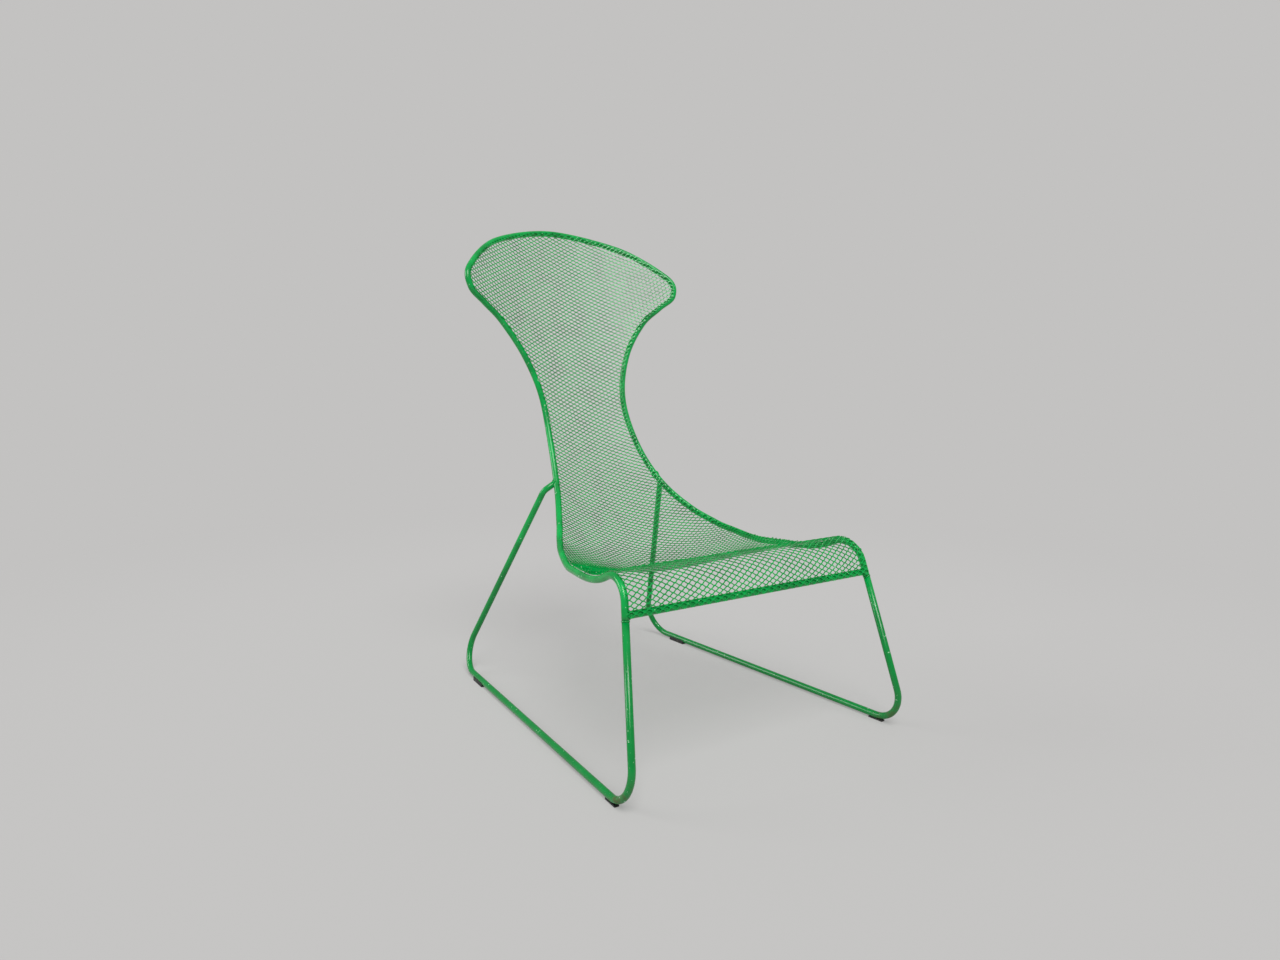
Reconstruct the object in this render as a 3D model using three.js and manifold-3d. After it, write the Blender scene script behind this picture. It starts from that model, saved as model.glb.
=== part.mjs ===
// A garden easy chair: one bent steel tube outlines a dished seat and fan back, a formed sheet of
// expanded metal lies on it, and two bent-tube sled legs carry it on four rubber shoes.
// Millimetres. +Z is up, the sitter looks along -Y and the sitter's left is +X. The origin lies on
// the floor under the middle of the chair's outer box.
import * as THREE from "three";
import { mergeVertices } from "three/addons/utils/BufferGeometryUtils.js";
import Module from "manifold-3d";

const wasm = await Module();
wasm.setup();
const { Vector2, Vector3 } = THREE;
const degrees = Math.PI / 180;

// Tube stock and the clearances between pieces
const tubeDiameter = 12.7;
const tubeWall = 1.2;
const fitGap = 0.3;
const meshGap = 0.5;
const chordError = 0.42;
const normalProbe = 0.5;
const tubeSides = 10;
const beadSides = 16;
const bendStep = 13 * degrees;
const tubeRadius = tubeDiameter / 2;
const boreRadius = tubeRadius - tubeWall;

// Rubber shoes under the runners: the rear pair cups the tube, the front pair is a thin, narrow pad
const rearShoeLength = 48;
const frontShoeLength = 32;
const shoeFloor = 2.2;
const shoeWall = 0.9;
const rearShoeHeight = 8.5;
const frontShoeHeight = 3;
const frontShoeHalfWidth = 4.4;
const frontShoeNose = 18;
const rearShoeSetback = 20;
const shoeChamferShare = 0.4;
const shoeArcSteps = 10;
const runnerHeight = shoeFloor + fitGap + tubeRadius;

// Side profile of the sheet from the front rail to the crown: straights and arcs at mid width
const railHeight = 295.5;
const apronLean = 73.2 * degrees;
const apronRun = 20;
const crestRadius = 46.1;
const crestTurn = -97.7 * degrees;
const seatFrontRadius = 1712;
const seatFrontTurn = 5.8 * degrees;
const hipRadius = 156;
const hipTurn = 53.4 * degrees;
const lumbarRadius = 619;
const lumbarTurn = 34.3 * degrees;
const upperBackRun = 402;

// Dish across the sheet: flat apron, then barrel shaped
const dishRadius = 427;
const dishStartShare = 0.097;
const dishFullShare = 0.329;

// Half outline of the sheet, unrolled, from the front rail's end to the middle of the crown
const apronHalfWidth = 272.5;
const outlineWidthShares = [
  1, 0.982, 0.965, 0.924, 0.825, 0.734, 0.6, 0.473, 0.393, 0.378, 0.48, 0.654, 0.809, 0.933, 0.904,
  0.557, 0,
];
const outlineLengthShares = [
  0, 0.0324, 0.0646, 0.1524, 0.2588, 0.3411, 0.4094, 0.4874, 0.5791, 0.6717, 0.7492, 0.8076, 0.8348,
  0.856, 0.8963, 0.9667, 1,
];
const fineStepsPerSpan = 12;

// Sled legs
const runnerLength = 780;
const runnerTaper = 58.5;
const frontBendRadius = 53;
const rearBendRadius = 52;
const topBendRadius = 25;
const rearJunction = 7.17;
const rearBendOut = 23.3;
const rearBendBack = 11.9;
const rearBendDrop = 18.8;

// Welds and the sleeve inside each front joint
const beadSize = 1.5;
const jointBeadWidth = 2;
const jointBeadCrown = 0.7;
const sleeveLength = 40;
const sleeveWall = 1.2;
const cutterOverrun = 12;
const cutterStations = 0.4;

// Expanded metal sheet, with coarse diamonds in place of the fine ones
const meshThickness = 1.6;
const diamondLength = 86;
const diamondHeight = 45;
const crestDiamondHeight = 19;
const gapShare = 0.82;
const leastGapShare = 0.2;
const meshRim = 9;
const railCoverShare = 0.9;

// Profile
const arcRun = (radius, turn) => ({ length: radius * Math.abs(turn), turn });
const profileRuns = [
  { length: apronRun, turn: 0 },
  arcRun(crestRadius, crestTurn),
  arcRun(seatFrontRadius, seatFrontTurn),
  arcRun(hipRadius, hipTurn),
  arcRun(lumbarRadius, lumbarTurn),
  { length: upperBackRun, turn: 0 },
];
const sheetLength = profileRuns.reduce((sum, run) => sum + run.length, 0);
const crestStart = apronRun;
const crestEnd = apronRun + profileRuns[1].length;

// Place and lean of the profile, a length t up from the front rail
function profileAt(t) {
  let lean = apronLean;
  let y = 0;
  let z = railHeight;
  let left = t;
  for (const [index, run] of profileRuns.entries()) {
    const isLast = index === profileRuns.length - 1;
    const length = isLast || left < run.length ? left : run.length;
    const turn = run.turn * (length / run.length);
    if (turn === 0) {
      y += length * Math.cos(lean);
      z += length * Math.sin(lean);
    } else {
      const radius = length / turn;
      y += radius * (Math.sin(lean + turn) - Math.sin(lean));
      z += radius * (Math.cos(lean) - Math.cos(lean + turn));
    }
    lean += turn;
    left -= length;
    if (left <= 0) break;
  }
  return { y, z, lean };
}

// The tubes' centre surface at x across and t along, dished towards the sitter
function sheetPoint(x, t) {
  const { y, z, lean } = profileAt(t);
  const share = THREE.MathUtils.smoothstep(t / sheetLength, dishStartShare, dishFullShare);
  const rise = (share * x * x) / (2 * dishRadius);
  return new Vector3(x, y - Math.sin(lean) * rise, z + Math.cos(lean) * rise);
}

// Direction out of that surface on the sitter's side
function sheetNormal(x, t) {
  const across = sheetPoint(x + normalProbe, t).sub(sheetPoint(x - normalProbe, t));
  const along = sheetPoint(x, t + normalProbe).sub(sheetPoint(x, t - normalProbe));
  return across.cross(along).normalize();
}

// Outline spline, numbered by station: 0 at the left joint, crownStation at the crown
const halfOutline = outlineWidthShares.map((share, i) => {
  return new Vector2(share * apronHalfWidth, outlineLengthShares[i] * sheetLength);
});
const crownStation = halfOutline.length - 1;
const mirrored = (point) => new Vector2(-point.x, point.y);
const belowJoint = halfOutline[0].clone().multiplyScalar(2).sub(halfOutline[1]);
const outlineSpline = new THREE.SplineCurve([
  belowJoint,
  ...halfOutline,
  ...halfOutline.slice(0, crownStation).reverse().map(mirrored),
  mirrored(belowJoint),
]);

function outlineAt(station) {
  return outlineSpline.getPoint((station + 1) / (outlineSpline.points.length - 1));
}

function shellPoint(station) {
  const { x, y } = outlineAt(station);
  return sheetPoint(x, y);
}

// Fewest of the given stations whose straight chords stay within chordError of the curve
function fewStations(stations, place) {
  const kept = [stations[0]];
  const nearest = new Vector3();
  let from = 0;
  for (let to = 2; to < stations.length; to += 1) {
    const chord = new THREE.Line3(place(stations[from]), place(stations[to]));
    const strays = stations.slice(from + 1, to).some((station) => {
      const point = place(station);
      return chord.closestPointToPoint(point, true, nearest).distanceTo(point) > chordError;
    });
    if (strays) {
      from = to - 1;
      kept.push(stations[from]);
    }
  }
  kept.push(stations.at(-1));
  return kept;
}

const fineSteps = crownStation * fineStepsPerSpan;
const fineStations = Array.from({ length: fineSteps + 1 }, (_, i) => i / fineStepsPerSpan);
const shellStations = fewStations(fineStations, shellPoint);

// Front joint: the leg's tube carries straight on into the shell's tube
const railEnd = shellPoint(0);
const jointSlope = halfOutline[1].clone().sub(halfOutline[0]);
const jointUp = new Vector3(
  jointSlope.x,
  Math.cos(apronLean) * jointSlope.y,
  Math.sin(apronLean) * jointSlope.y,
).normalize();
const jointDrop = tubeRadius + beadSize + fitGap + jointBeadWidth / 2;
const rootGap = jointBeadWidth + 2 * fitGap;
const alongJoint = (distance) => railEnd.clone().addScaledVector(jointUp, distance - jointDrop);

// Corners of the left leg
const footRun = (railHeight - runnerHeight) / jointUp.z;
const frontCorner = railEnd.clone().addScaledVector(jointUp, -footRun);
const rearCorner = frontCorner.clone().add(new Vector3(-runnerTaper, runnerLength, 0));
const legTop = shellPoint(rearJunction);
const topCorner = legTop.clone().add(new Vector3(rearBendOut, rearBendBack, -rearBendDrop));

// A path through given points, one step from each to the next
class StationPath extends THREE.Curve {
  constructor(points) {
    super();
    this.points = points;
    this.steps = points.length - 1;
  }

  getPointAt(share, target = new Vector3()) {
    return target.copy(this.points[Math.round(share * this.steps)]);
  }

  getTangentAt(share, target = new Vector3()) {
    const index = Math.round(share * this.steps);
    const here = this.points[index];
    const arriving = here.clone().sub(this.points[Math.max(index - 1, 0)]).normalize();
    const leaving = this.points[Math.min(index + 1, this.steps)].clone().sub(here).normalize();
    return target.copy(arriving).add(leaving).normalize();
  }
}

// Points of the bend at one corner of a path
function bend(before, corner, after, radius) {
  const back = before.clone().sub(corner).normalize();
  const ahead = after.clone().sub(corner).normalize();
  const halfAngle = back.angleTo(ahead) / 2;
  const start = corner.clone().addScaledVector(back, radius / Math.tan(halfAngle));
  const middle = back.clone().add(ahead).normalize();
  const centre = corner.clone().addScaledVector(middle, radius / Math.sin(halfAngle));
  const inward = centre.sub(start).normalize();
  const turn = Math.PI - 2 * halfAngle;
  const steps = Math.ceil(turn / bendStep);
  return Array.from({ length: steps + 1 }, (_, i) => {
    const angle = (turn * i) / steps;
    return start
      .clone()
      .addScaledVector(back, -radius * Math.sin(angle))
      .addScaledVector(inward, radius * (1 - Math.cos(angle)));
  });
}

function legPoints() {
  const start = alongJoint(-rootGap / 2);
  return [
    start,
    ...bend(start, frontCorner, rearCorner, frontBendRadius),
    ...bend(frontCorner, rearCorner, topCorner, rearBendRadius),
    ...bend(rearCorner, topCorner, legTop, topBendRadius),
    legTop,
  ];
}

// Geometry helpers
const onSide = (point, side) => new Vector3(point.x * side, point.y, point.z);
const roundOver = (radius, sides) => radius / Math.cos(Math.PI / sides);

function circle(radius, Kind) {
  return new Kind().absarc(0, 0, radius, 0, 2 * Math.PI);
}

function roundBar(points, radius, sides) {
  const path = new StationPath(points);
  const section = circle(radius, THREE.Shape);
  return new THREE.ExtrudeGeometry(section, {
    steps: path.steps,
    extrudePath: path,
    curveSegments: sides / 2,
  });
}

function tube(points, radius, bore) {
  const path = new StationPath(points);
  const section = circle(radius, THREE.Shape);
  section.holes.push(circle(bore, THREE.Path));
  return new THREE.ExtrudeGeometry(section, {
    steps: path.steps,
    extrudePath: path,
    curveSegments: tubeSides / 2,
  });
}

function solidOf(geometry) {
  const bare = new THREE.BufferGeometry();
  bare.setAttribute("position", geometry.getAttribute("position"));
  if (geometry.index) bare.setIndex(geometry.index);
  const merged = mergeVertices(bare);
  const mesh = new wasm.Mesh({
    numProp: 3,
    vertProperties: new Float32Array(merged.getAttribute("position").array),
    triVerts: new Uint32Array(merged.index.array),
  });
  return new wasm.Manifold(mesh);
}

function geometryOf(solid) {
  const mesh = solid.getMesh();
  const geometry = new THREE.BufferGeometry();
  geometry.setAttribute("position", new THREE.BufferAttribute(mesh.vertProperties, 3));
  geometry.setIndex(new THREE.BufferAttribute(mesh.triVerts, 1));
  const faceted = geometry.toNonIndexed();
  faceted.computeVertexNormals();
  return faceted;
}

const clearBar = (points) => solidOf(roundBar(points, roundOver(tubeRadius + fitGap, beadSides), beadSides));
const beadBar = (points) => solidOf(roundBar(points, tubeRadius + beadSize, beadSides));

// Shell tube between two of its kept stations, for cutting what meets it there
function shellStretch(low, high, side) {
  const before = shellStations.filter((station) => station < low).at(-1);
  const beyond = shellStations.find((station) => station > high);
  const within = shellStations.filter((station) => station >= low && station <= high);
  const stations = [before, ...within, beyond].filter((station) => station !== undefined);
  return stations.map((station) => onSide(shellPoint(station), side));
}

// Everything above the tubes' tops on the sitter's side, where the mesh lies
function meshSide(station, side) {
  const { x, y } = outlineAt(station);
  const normal = onSide(sheetNormal(x, y), side);
  const size = tubeDiameter * 4;
  const block = new THREE.BoxGeometry(size, size, size);
  block.applyQuaternion(new THREE.Quaternion().setFromUnitVectors(new Vector3(0, 0, 1), normal));
  const centre = onSide(shellPoint(station), side).addScaledVector(normal, tubeRadius + size / 2);
  block.translate(centre.x, centre.y, centre.z);
  return solidOf(block);
}

// Fillet bead where a branch tube ends on the shell tube
function weldBead(branch, shell, station, side) {
  const whole = beadBar(branch).intersect(beadBar(shell));
  const ring = whole.subtract(clearBar(branch)).subtract(clearBar(shell));
  return geometryOf(ring.subtract(meshSide(station, side)));
}

// Pieces
function shellTube() {
  const leftHalf = shellStations.map(shellPoint);
  const rightHalf = leftHalf.slice(0, -1).reverse().map((point) => onSide(point, -1));
  const leftEnd = alongJoint(rootGap / 2);
  return tube([leftEnd, ...leftHalf, ...rightHalf, onSide(leftEnd, -1)], tubeRadius, boreRadius);
}

// Shell tube round each weld, with an overrun past its front end
function frontStretch(side) {
  const overrun = onSide(alongJoint(-cutterOverrun), side);
  return [overrun, ...shellStretch(0, cutterStations, side)];
}

function rearStretch(side) {
  return shellStretch(rearJunction - cutterStations, rearJunction + cutterStations, side);
}

function frontRail() {
  const rail = solidOf(tube([onSide(railEnd, -1), railEnd], tubeRadius, boreRadius));
  return geometryOf(rail.subtract(clearBar(frontStretch(1))).subtract(clearBar(frontStretch(-1))));
}

function leg(side) {
  const points = legPoints().map((point) => onSide(point, side));
  const whole = solidOf(tube(points, tubeRadius, boreRadius));
  return geometryOf(whole.subtract(clearBar(rearStretch(side))));
}

function railWeld(side) {
  const inner = railEnd.clone().setX(apronHalfWidth - tubeDiameter * 2);
  return weldBead([onSide(railEnd, side), onSide(inner, side)], frontStretch(side), 0, side);
}

function rearWeld(side) {
  const branch = legPoints().slice(-2).map((point) => onSide(point, side));
  return weldBead(branch, rearStretch(side), rearJunction, side);
}

function jointSleeve(side) {
  const ends = [-sleeveLength / 2, sleeveLength / 2].map((distance) => onSide(alongJoint(distance), side));
  const radius = boreRadius * Math.cos(Math.PI / tubeSides) - fitGap;
  return tube(ends, radius, radius - sleeveWall);
}

function jointWeld() {
  const half = jointBeadWidth / 2;
  const crown = tubeRadius + jointBeadCrown;
  const section = [
    new Vector2(boreRadius, -half),
    new Vector2(tubeRadius, -half),
    new Vector2(crown, -half / 2),
    new Vector2(crown, half / 2),
    new Vector2(tubeRadius, half),
    new Vector2(boreRadius, half),
    new Vector2(boreRadius, -half),
  ];
  return new THREE.LatheGeometry(section, beadSides);
}

// Shoe cupping a runner's underside, drawn square to it: the floor is y = 0 and the runner goes along z
function shoe(height, halfWidth, length) {
  const inner = roundOver(tubeRadius + fitGap, 2 * shoeArcSteps);
  const chamfer = shoeChamferShare * shoeFloor;
  const lip = Math.acos((runnerHeight - height) / inner);
  const section = new THREE.Shape();
  section.moveTo(-halfWidth + chamfer, 0);
  section.lineTo(halfWidth - chamfer, 0);
  section.lineTo(halfWidth, chamfer);
  section.lineTo(halfWidth, height);
  for (let i = 0; i <= shoeArcSteps; i += 1) {
    const angle = lip * (1 - (2 * i) / shoeArcSteps);
    section.lineTo(inner * Math.sin(angle), runnerHeight - inner * Math.cos(angle));
  }
  section.lineTo(-halfWidth, height);
  section.lineTo(-halfWidth, chamfer);
  return new THREE.ExtrudeGeometry(section, { depth: length, bevelEnabled: false });
}

// Half width of the unrolled sheet, a length t up from the front rail
function halfWidth(t, edge) {
  const above = Math.max(edge.findIndex((point) => point.y >= t), 1);
  const low = edge[above - 1];
  const high = edge[above];
  const within = THREE.MathUtils.clamp(t, edge[0].y, sheetLength);
  return THREE.MathUtils.mapLinear(within, low.y, high.y, low.x, high.x);
}

// A convex outline cut back to a rim's width inside a border line that runs with the sheet on its left
function cutBack(outline, line) {
  const { start, end } = line;
  const inward = new Vector2(start.y - end.y, end.x - start.x).normalize();
  const depth = ({ x, y }) => inward.x * (x - start.x) + inward.y * (y - start.y) - meshRim;
  return outline.flatMap((point, i) => {
    const next = outline[(i + 1) % outline.length];
    const [here, there] = [depth(point), depth(next)];
    const crossing = here * there < 0 ? [point.clone().lerp(next, here / (here - there))] : [];
    return here >= 0 ? [point, ...crossing] : crossing;
  });
}

// One diamond's outline, round (x, t) in a row, cut back from the border lines near it
function diamondAt(x, t, halfHeight, border) {
  const halfLength = (gapShare * diamondLength) / 2;
  const whole = [
    new Vector2(x - halfLength, t),
    new Vector2(x, t - halfHeight),
    new Vector2(x + halfLength, t),
    new Vector2(x, t + halfHeight),
  ];
  const centre = new Vector3(x, t, 0);
  const nearest = new Vector3();
  const near = border.filter((line) => {
    return line.closestPointToPoint(centre, true, nearest).distanceTo(centre) < halfLength + meshRim;
  });
  return near.reduce(cutBack, whole);
}

// A gap as the two ends of its cut along its row, and its corners above and below, all left to right
function gapAcross(outline, t) {
  const points = outline.flatMap((point, i) => {
    const next = outline[(i + 1) % outline.length];
    if ((point.y - t) * (next.y - t) >= 0) return [point];
    return [point, point.clone().lerp(next, (t - point.y) / (next.y - point.y)).setY(t)];
  });
  const [left, right] = points.filter((point) => point.y === t).sort((a, b) => a.x - b.x);
  const first = points.indexOf(left);
  const turned = [...points.slice(first), ...points.slice(0, first)];
  const above = turned.filter((point) => point.y > t).reverse();
  const below = turned.filter((point) => point.y < t);
  return { left, right, above, below };
}

// Whether a gap crosses its row inside the sheet and is wide enough there to be cut
function isCut({ left, right, above, below }, rowHalfWidth) {
  if (!right || above.length === 0 || below.length === 0) return false;
  if (Math.max(-left.x, right.x) > rowHalfWidth) return false;
  return right.x - left.x > leastGapShare * diamondLength;
}

// Rows of diamonds across the unrolled sheet, closer round the crest so that the sheet follows the bend
function meshRows(edge) {
  const places = [];
  for (let t = crestStart; t < sheetLength; ) {
    places.push(t);
    t += (t < crestEnd ? crestDiamondHeight : diamondHeight) / 2;
  }
  const levels = [edge[0].y, ...places, sheetLength];
  const round = [...edge, ...edge.slice(0, -1).reverse().map(mirrored)];
  const flat = ({ x, y }) => new Vector3(x, y, 0);
  const border = round.slice(1).map((end, i) => new THREE.Line3(flat(round[i]), flat(end)));
  const columns = Math.ceil(apronHalfWidth / diamondLength);
  return levels.map((t, row) => {
    const gaps = [];
    if (row > 0 && row < levels.length - 1) {
      const halfHeight = gapShare * Math.min(t - levels[row - 1], levels[row + 1] - t);
      for (let column = -columns; column <= columns; column += 1) {
        const x = (column + (row % 2) / 2) * diamondLength;
        const gap = gapAcross(diamondAt(x, t, halfHeight, border), t);
        if (isCut(gap, halfWidth(t, edge))) gaps.push(gap);
      }
    }
    return { t, gaps };
  });
}

// Flat triangles of the unrolled sheet, one strip between each row of diamonds and the next
function flatSheet() {
  const drop = (-railCoverShare * tubeRadius) / jointSlope.y;
  const foot = halfOutline[0].clone().addScaledVector(jointSlope, drop);
  const edge = [foot, ...shellStations.map(outlineAt)];
  const rows = meshRows(edge);
  const triangles = [];
  for (let i = 0; i < rows.length - 1; i += 1) {
    const [low, high] = [rows[i], rows[i + 1]];
    const side = edge.filter((point) => point.y > low.t && point.y < high.t);
    const lowWidth = halfWidth(low.t, edge);
    const highWidth = halfWidth(high.t, edge);
    const strip = [
      new Vector2(-lowWidth, low.t),
      ...low.gaps.flatMap((gap) => [gap.left, ...gap.above, gap.right]),
      new Vector2(lowWidth, low.t),
      ...side,
      new Vector2(highWidth, high.t),
      ...high.gaps.toReversed().flatMap((gap) => [gap.right, ...gap.below.toReversed(), gap.left]),
    ];
    if (highWidth > 0) strip.push(new Vector2(-highWidth, high.t));
    strip.push(...side.toReversed().map(mirrored));
    for (const face of THREE.ShapeUtils.triangulateShape(strip, [])) {
      triangles.push(face.map((corner) => strip[corner]));
    }
  }
  return triangles;
}

// Both faces and the cut edges of the sheet, laid on the tubes
function meshPanel() {
  const low = tubeRadius + meshGap;
  const high = low + meshThickness;
  const laid = ({ x, y }, rise) => sheetPoint(x, y).addScaledVector(sheetNormal(x, y), rise);
  const edgeName = (from, to) => `${from.x},${from.y},${to.x},${to.y}`;
  const triangles = flatSheet();
  const edges = new Map();
  const points = [];
  for (const corners of triangles) {
    points.push(...corners.map((corner) => laid(corner, high)));
    points.push(...corners.toReversed().map((corner) => laid(corner, low)));
    for (const [i, from] of corners.entries()) {
      const to = corners[(i + 1) % 3];
      edges.set(edgeName(from, to), [from, to]);
    }
  }
  for (const [from, to] of edges.values()) {
    if (edges.has(edgeName(to, from))) continue;
    const [a, b, c, d] = [laid(from, low), laid(to, low), laid(to, high), laid(from, high)];
    points.push(a, b, c, a, c, d);
  }
  const panel = new THREE.BufferGeometry().setFromPoints(points);
  panel.computeVertexNormals();
  return panel;
}

// Materials
const greenPaint = new THREE.MeshStandardMaterial({ color: 0x00a04a, roughness: 0.3, metalness: 0.1 });
const blackRubber = new THREE.MeshStandardMaterial({ color: 0x17181a, roughness: 0.85, metalness: 0 });

// Assembly
const chair = new THREE.Group();

function addPiece(name, geometry, material) {
  const mesh = new THREE.Mesh(geometry, material);
  mesh.name = name;
  chair.add(mesh);
  return mesh;
}

// Seats a shoe's rear-running axis on a runner, its front end at the given place
function addShoe(name, geometry, front, along) {
  const mesh = addPiece(name, geometry, blackRubber);
  const up = new Vector3(0, 0, 1);
  const across = up.clone().cross(along);
  mesh.quaternion.setFromRotationMatrix(new THREE.Matrix4().makeBasis(across, up, along));
  mesh.position.set(front.x, front.y, 0);
}

addPiece("shell_tube", shellTube(), greenPaint);
addPiece("front_rail", frontRail(), greenPaint);
addPiece("mesh_panel", meshPanel(), greenPaint);
for (const [sideName, side] of [["left", 1], ["right", -1]]) {
  addPiece(`${sideName}_leg`, leg(side), greenPaint);
  addPiece(`${sideName}_joint_sleeve`, jointSleeve(side), greenPaint);
  addPiece(`${sideName}_rail_weld`, railWeld(side), greenPaint);
  addPiece(`${sideName}_rear_weld`, rearWeld(side), greenPaint);

  const ring = addPiece(`${sideName}_joint_weld`, jointWeld(), greenPaint);
  ring.quaternion.setFromUnitVectors(new Vector3(0, 1, 0), onSide(jointUp, side));
  ring.position.copy(onSide(alongJoint(0), side));

  const frontBendEnd = bend(alongJoint(0), frontCorner, rearCorner, frontBendRadius).at(-1);
  const rearBendStart = bend(frontCorner, rearCorner, topCorner, rearBendRadius)[0];
  const along = onSide(rearCorner.clone().sub(frontCorner).normalize(), side);
  const frontPlace = onSide(frontBendEnd, side).addScaledVector(along, -frontShoeNose);
  const rearPlace = onSide(rearBendStart, side).addScaledVector(along, -rearShoeLength - rearShoeSetback);
  const frontShoe = shoe(frontShoeHeight, frontShoeHalfWidth, frontShoeLength);
  const rearShoe = shoe(rearShoeHeight, tubeRadius + fitGap + shoeWall, rearShoeLength);
  addShoe(`${sideName}_front_glide`, frontShoe, frontPlace, along);
  addShoe(`${sideName}_rear_glide`, rearShoe, rearPlace, along);
}

// The outer box's middle goes over the origin
chair.updateMatrixWorld(true);
const outerBox = new THREE.Box3().setFromObject(chair, true);
const middle = outerBox.getCenter(new Vector3());
chair.position.set(-middle.x, -middle.y, -outerBox.min.z);

const part = new THREE.Group();
part.add(chair);

export default part;
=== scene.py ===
"""A garden easy chair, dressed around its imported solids.

One enamelled steel tube outlines a dished seat and fan back, expanded metal is laid on it, and two
bent-tube sled legs stand on black rubber shoes. Metres, with +Z up and the sitter looking along -Y.
"""

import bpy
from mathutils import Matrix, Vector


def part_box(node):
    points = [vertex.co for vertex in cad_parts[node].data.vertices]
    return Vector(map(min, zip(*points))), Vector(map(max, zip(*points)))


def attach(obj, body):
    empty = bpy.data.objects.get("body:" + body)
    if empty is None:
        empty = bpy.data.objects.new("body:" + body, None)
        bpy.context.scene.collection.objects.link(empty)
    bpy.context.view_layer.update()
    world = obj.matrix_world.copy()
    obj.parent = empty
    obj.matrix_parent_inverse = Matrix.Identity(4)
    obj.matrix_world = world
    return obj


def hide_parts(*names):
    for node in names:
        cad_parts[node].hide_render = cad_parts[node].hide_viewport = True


bl_info = {
    "name": "Garden Easy Chair",
    "version": (1, 0, 0),
    "blender": (4, 5, 0),
    "location": "3D View > Sidebar > Chair",
    "description": "Builds a garden easy chair of enamelled tube, expanded metal and rubber shoes",
    "category": "Add Mesh",
}

import math

import bmesh
import bpy
import numpy as np
from mathutils import Matrix, Vector

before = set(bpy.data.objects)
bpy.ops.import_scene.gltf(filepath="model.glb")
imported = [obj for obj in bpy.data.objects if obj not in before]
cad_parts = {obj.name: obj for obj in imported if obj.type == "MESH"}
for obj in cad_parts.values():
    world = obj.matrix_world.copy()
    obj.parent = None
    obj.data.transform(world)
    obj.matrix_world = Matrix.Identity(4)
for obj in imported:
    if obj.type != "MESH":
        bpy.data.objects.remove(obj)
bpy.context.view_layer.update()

MM = 0.001
ROOT_BODY = "root"

# The sitter's sides, with the sign of X on each
SIDES = {"left": 1, "right": -1}

# The front rail's axis, where the sheet's profile starts
RAIL_LOW, RAIL_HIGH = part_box("front_rail")
RAIL_Y = (RAIL_LOW.y + RAIL_HIGH.y) / 2
RAIL_Z = (RAIL_LOW.z + RAIL_HIGH.z) / 2

# Side profile of the sheet as the solids have it: length and turn of each straight or arc
APRON_LEAN = math.radians(73.2)
APRON_RUN = 20 * MM
CREST_RADIUS = 46.1 * MM
CREST_TURN = math.radians(-97.7)
SEAT_FRONT_RADIUS = 1712 * MM
SEAT_FRONT_TURN = math.radians(5.8)
HIP_RADIUS = 156 * MM
HIP_TURN = math.radians(53.4)
LUMBAR_RADIUS = 619 * MM
LUMBAR_TURN = math.radians(34.3)
UPPER_BACK_RUN = 402 * MM
PROFILE_RUNS = (
    (APRON_RUN, 0),
    (CREST_RADIUS * abs(CREST_TURN), CREST_TURN),
    (SEAT_FRONT_RADIUS * SEAT_FRONT_TURN, SEAT_FRONT_TURN),
    (HIP_RADIUS * HIP_TURN, HIP_TURN),
    (LUMBAR_RADIUS * LUMBAR_TURN, LUMBAR_TURN),
    (UPPER_BACK_RUN, 0),
)
SHEET_LENGTH = sum(length for length, _ in PROFILE_RUNS)

# Dish across the sheet, and its unrolled outline from the rail's left end to the crown
DISH_RADIUS = 427 * MM
DISH_START_SHARE = 0.097
DISH_FULL_SHARE = 0.329
APRON_HALF_WIDTH = 272.5 * MM
OUTLINE_WIDTH_SHARES = (
    1, 0.982, 0.965, 0.924, 0.825, 0.734, 0.6, 0.473, 0.393,
    0.378, 0.48, 0.654, 0.809, 0.933, 0.904, 0.557, 0,
)
OUTLINE_LENGTH_SHARES = (
    0, 0.0324, 0.0646, 0.1524, 0.2588, 0.3411, 0.4094, 0.4874, 0.5791,
    0.6717, 0.7492, 0.8076, 0.8348, 0.856, 0.8963, 0.9667, 1,
)
CROWN_STATION = len(OUTLINE_WIDTH_SHARES) - 1
NORMAL_PROBE = 0.5 * MM

# Sled legs: the junction is the station of the outline where a rear leg meets the shell tube, and
# the step leads from there to the corner of the leg's last bend
RUNNER_LENGTH = 780 * MM
RUNNER_TAPER = 58.5 * MM
FRONT_BEND_RADIUS = 53 * MM
REAR_BEND_RADIUS = 52 * MM
TOP_BEND_RADIUS = 25 * MM
REAR_JUNCTION = 7.17
REAR_BEND_STEP = np.array((23.3, 11.9, -18.8)) * MM
JOINT_DROP = 9.15 * MM

# Shoes under the runners
SHOE_FLOOR = 2.2 * MM
SHOE_GAP = 0.3 * MM
SHOE_WALL = 0.9 * MM
FRONT_SHOE_LENGTH = 32 * MM
FRONT_SHOE_HEIGHT = 3 * MM
FRONT_SHOE_HALF_WIDTH = 4.4 * MM
FRONT_SHOE_NOSE = 18 * MM
REAR_SHOE_LENGTH = 48 * MM
REAR_SHOE_HEIGHT = 8.5 * MM
REAR_SHOE_SETBACK = 20 * MM

# How finely the skins are drawn
TUBE_SIDES = 28
BEAD_SIDES = 10
FLOOR_SIDES = 96
STATION_STEPS = 26
RAIL_STEPS = 40
BEND_STEP = math.radians(3)
SHOE_ARC_STEPS = 20


# Settings


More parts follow.
